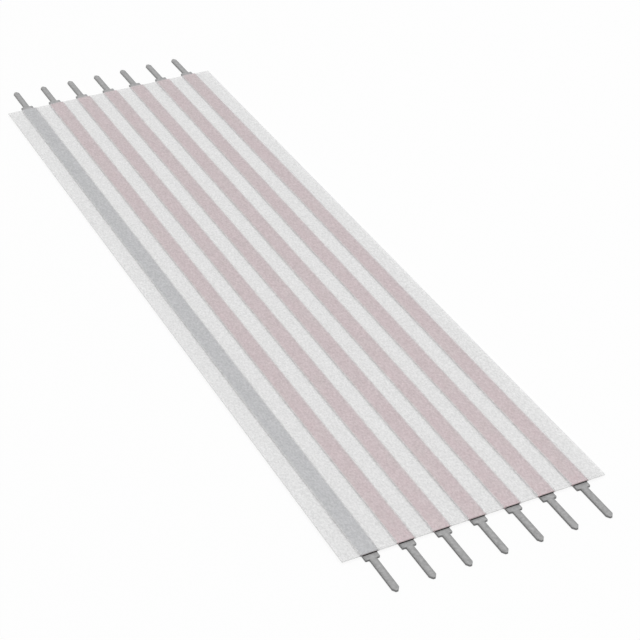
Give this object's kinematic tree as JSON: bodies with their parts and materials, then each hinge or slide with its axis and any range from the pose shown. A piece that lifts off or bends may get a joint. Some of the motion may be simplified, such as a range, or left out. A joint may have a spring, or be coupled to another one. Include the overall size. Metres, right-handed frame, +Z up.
{
  "type": "flat flex jumper cable",
  "caption": "Short flat flexible jumper: flat copper conductors laminated between clear films, with a row of stamped solder pins at each end.",
  "frame": {"origin": "centre of the whole part, in the plane that the pins lie on", "axes": "+X across the cable from way 1 to way 7, +Y along the cable from the front pins to the rear pins, +Z up out of the cover film"},
  "size_m": [0.019, 0.0726, 0.0003],
  "materials": {
    "cover_film": "milky translucent film with a fine grain",
    "base_film": "milky translucent film with a fine grain",
    "tinned_conductor": "dull tin over copper",
    "copper_conductor": "dull rolled copper",
    "tinned_pin": "satin tin plate"
  },
  "bodies": {
    "root": {"cover_film": "cover_film", "base_film": "base_film", "conductor_1": "tinned_conductor", "conductor_2": "copper_conductor", "conductor_3": "copper_conductor", "conductor_4": "copper_conductor", "conductor_5": "copper_conductor", "conductor_6": "copper_conductor", "conductor_7": "copper_conductor", "front_pin_1": "tinned_pin", "front_pin_2": "tinned_pin", "front_pin_3": "tinned_pin", "front_pin_4": "tinned_pin", "front_pin_5": "tinned_pin", "front_pin_6": "tinned_pin", "front_pin_7": "tinned_pin", "rear_pin_1": "tinned_pin", "rear_pin_2": "tinned_pin", "rear_pin_3": "tinned_pin", "rear_pin_4": "tinned_pin", "rear_pin_5": "tinned_pin", "rear_pin_6": "tinned_pin", "rear_pin_7": "tinned_pin"}
  },
  "joints": []
}
